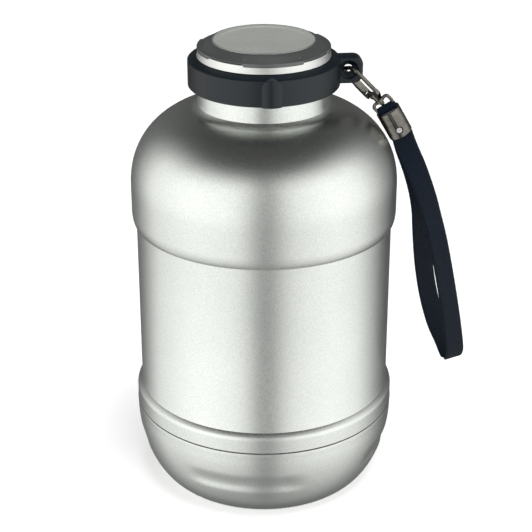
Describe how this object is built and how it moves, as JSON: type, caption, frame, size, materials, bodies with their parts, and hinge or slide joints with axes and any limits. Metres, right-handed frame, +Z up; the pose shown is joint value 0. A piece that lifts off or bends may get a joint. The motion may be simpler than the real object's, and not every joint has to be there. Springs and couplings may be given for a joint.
{
  "type": "insulated water jug",
  "caption": "Large double-walled steel water jug with a screw lid, a swivelling carry collar, a clip-on wrist strap and a screw-off base cup.",
  "frame": {"origin": "middle of the face the jug stands on, under the base cup's rubber pad", "axes": "+Z up along the jug's axis; the collar's lug and the wrist strap are on the +X side, and -Y is the front"},
  "size_m": [0.1816, 0.1404, 0.2467],
  "materials": {
    "satin_steel": "bead-blasted satin stainless steel",
    "plain_steel": "plain rolled stainless steel",
    "bright_steel": "brighter satin steel",
    "disc_steel": "warm grey satin metallic",
    "black_plastic": "black moulded plastic, satin",
    "grey_plastic": "dark grey moulded plastic, satin",
    "silicone": "silicone",
    "rubber_pad": "matt rubber",
    "foam": "insulating foam",
    "gunmetal": "polished gunmetal plating",
    "webbing": "tight woven nylon webbing"
  },
  "bodies": {
    "bottle": {"outer_shell": "satin_steel", "inner_flask": "plain_steel", "neck_ring": "plain_steel", "shell_bottom": "plain_steel", "vacuum_plug": "plain_steel", "base_thread_ring": "black_plastic"},
    "base_seal": {"base_gasket": "silicone"},
    "base": {"base_shell": "satin_steel", "base_liner": "grey_plastic", "base_pad": "rubber_pad"},
    "lid_seal": {"lid_gasket": "silicone"},
    "lid": {"lid_liner": "black_plastic", "lid_foam": "foam", "lid_band": "bright_steel", "lid_grip_ring": "grey_plastic", "lid_rim": "bright_steel", "lid_disc": "disc_steel", "collar_clip": "plain_steel"},
    "collar": {"carry_collar": "black_plastic"},
    "clasp": {"clasp_hook": "gunmetal", "gate_pin": "plain_steel", "gate_spring": "plain_steel", "swivel_stud": "gunmetal"},
    "gate": {"clasp_gate": "gunmetal"},
    "swivel": {"swivel_loop": "gunmetal"},
    "strap": {"strap_fold": "webbing", "strap_sleeve": "gunmetal", "sleeve_plug": "rubber_pad", "sleeve_screw": "bright_steel", "wrist_strap": "webbing"}
  },
  "joints": [
    {"name": "base_drop", "type": "slide", "parent": "bottle", "child": "base_seal", "axis": [0, 0, -1], "range_m": [0, 0.012]},
    {"name": "base_turn", "type": "hinge", "parent": "base_seal", "child": "base", "pos_m": [0, 0, 0], "axis": [0, 0, -1], "range_deg": [0, 720]},
    {"name": "lid_rise", "type": "slide", "parent": "bottle", "child": "lid_seal", "axis": [0, 0, 1], "range_m": [0, 0.024]},
    {"name": "lid_turn", "type": "hinge", "parent": "lid_seal", "child": "lid", "pos_m": [0, 0, 0.22], "axis": [0, 0, 1], "range_deg": [0, 1080]},
    {"name": "collar_swivel", "type": "hinge", "parent": "lid", "child": "collar", "pos_m": [0, 0, 0.23], "axis": [0, 0, 1], "continuous": true},
    {"name": "clasp_swing", "type": "hinge", "parent": "collar", "child": "clasp", "pos_m": [0.04276, 0.00449, 0.2298], "axis": [0.1045, -0.9945, 0], "range_deg": [0, 100]},
    {"name": "gate_open", "type": "hinge", "parent": "clasp", "child": "gate", "pos_m": [0.05459, 0.01093, 0.2132], "axis": [0.6096, 0.489, 0.6239], "range_deg": [0, 22], "stiffness_Nm_per_rad": 0.02, "springref_deg": -17.19},
    {"name": "swivel_spin", "type": "hinge", "parent": "clasp", "child": "swivel", "pos_m": [0.05988, 0.00629, 0.21167], "axis": [0.6846, 0.072, -0.7254], "continuous": true},
    {"name": "strap_flex", "type": "hinge", "parent": "swivel", "child": "strap", "pos_m": [0.06364, 0.00669, 0.20768], "axis": [0.7214, 0.0758, 0.6884], "range_deg": [-12, 12]}
  ],
  "couplings": [
    {"joint": "base_drop", "follows": "base_turn", "m_per_rad": 0.00095493},
    {"joint": "lid_rise", "follows": "lid_turn", "m_per_rad": 0.0012732}
  ]
}
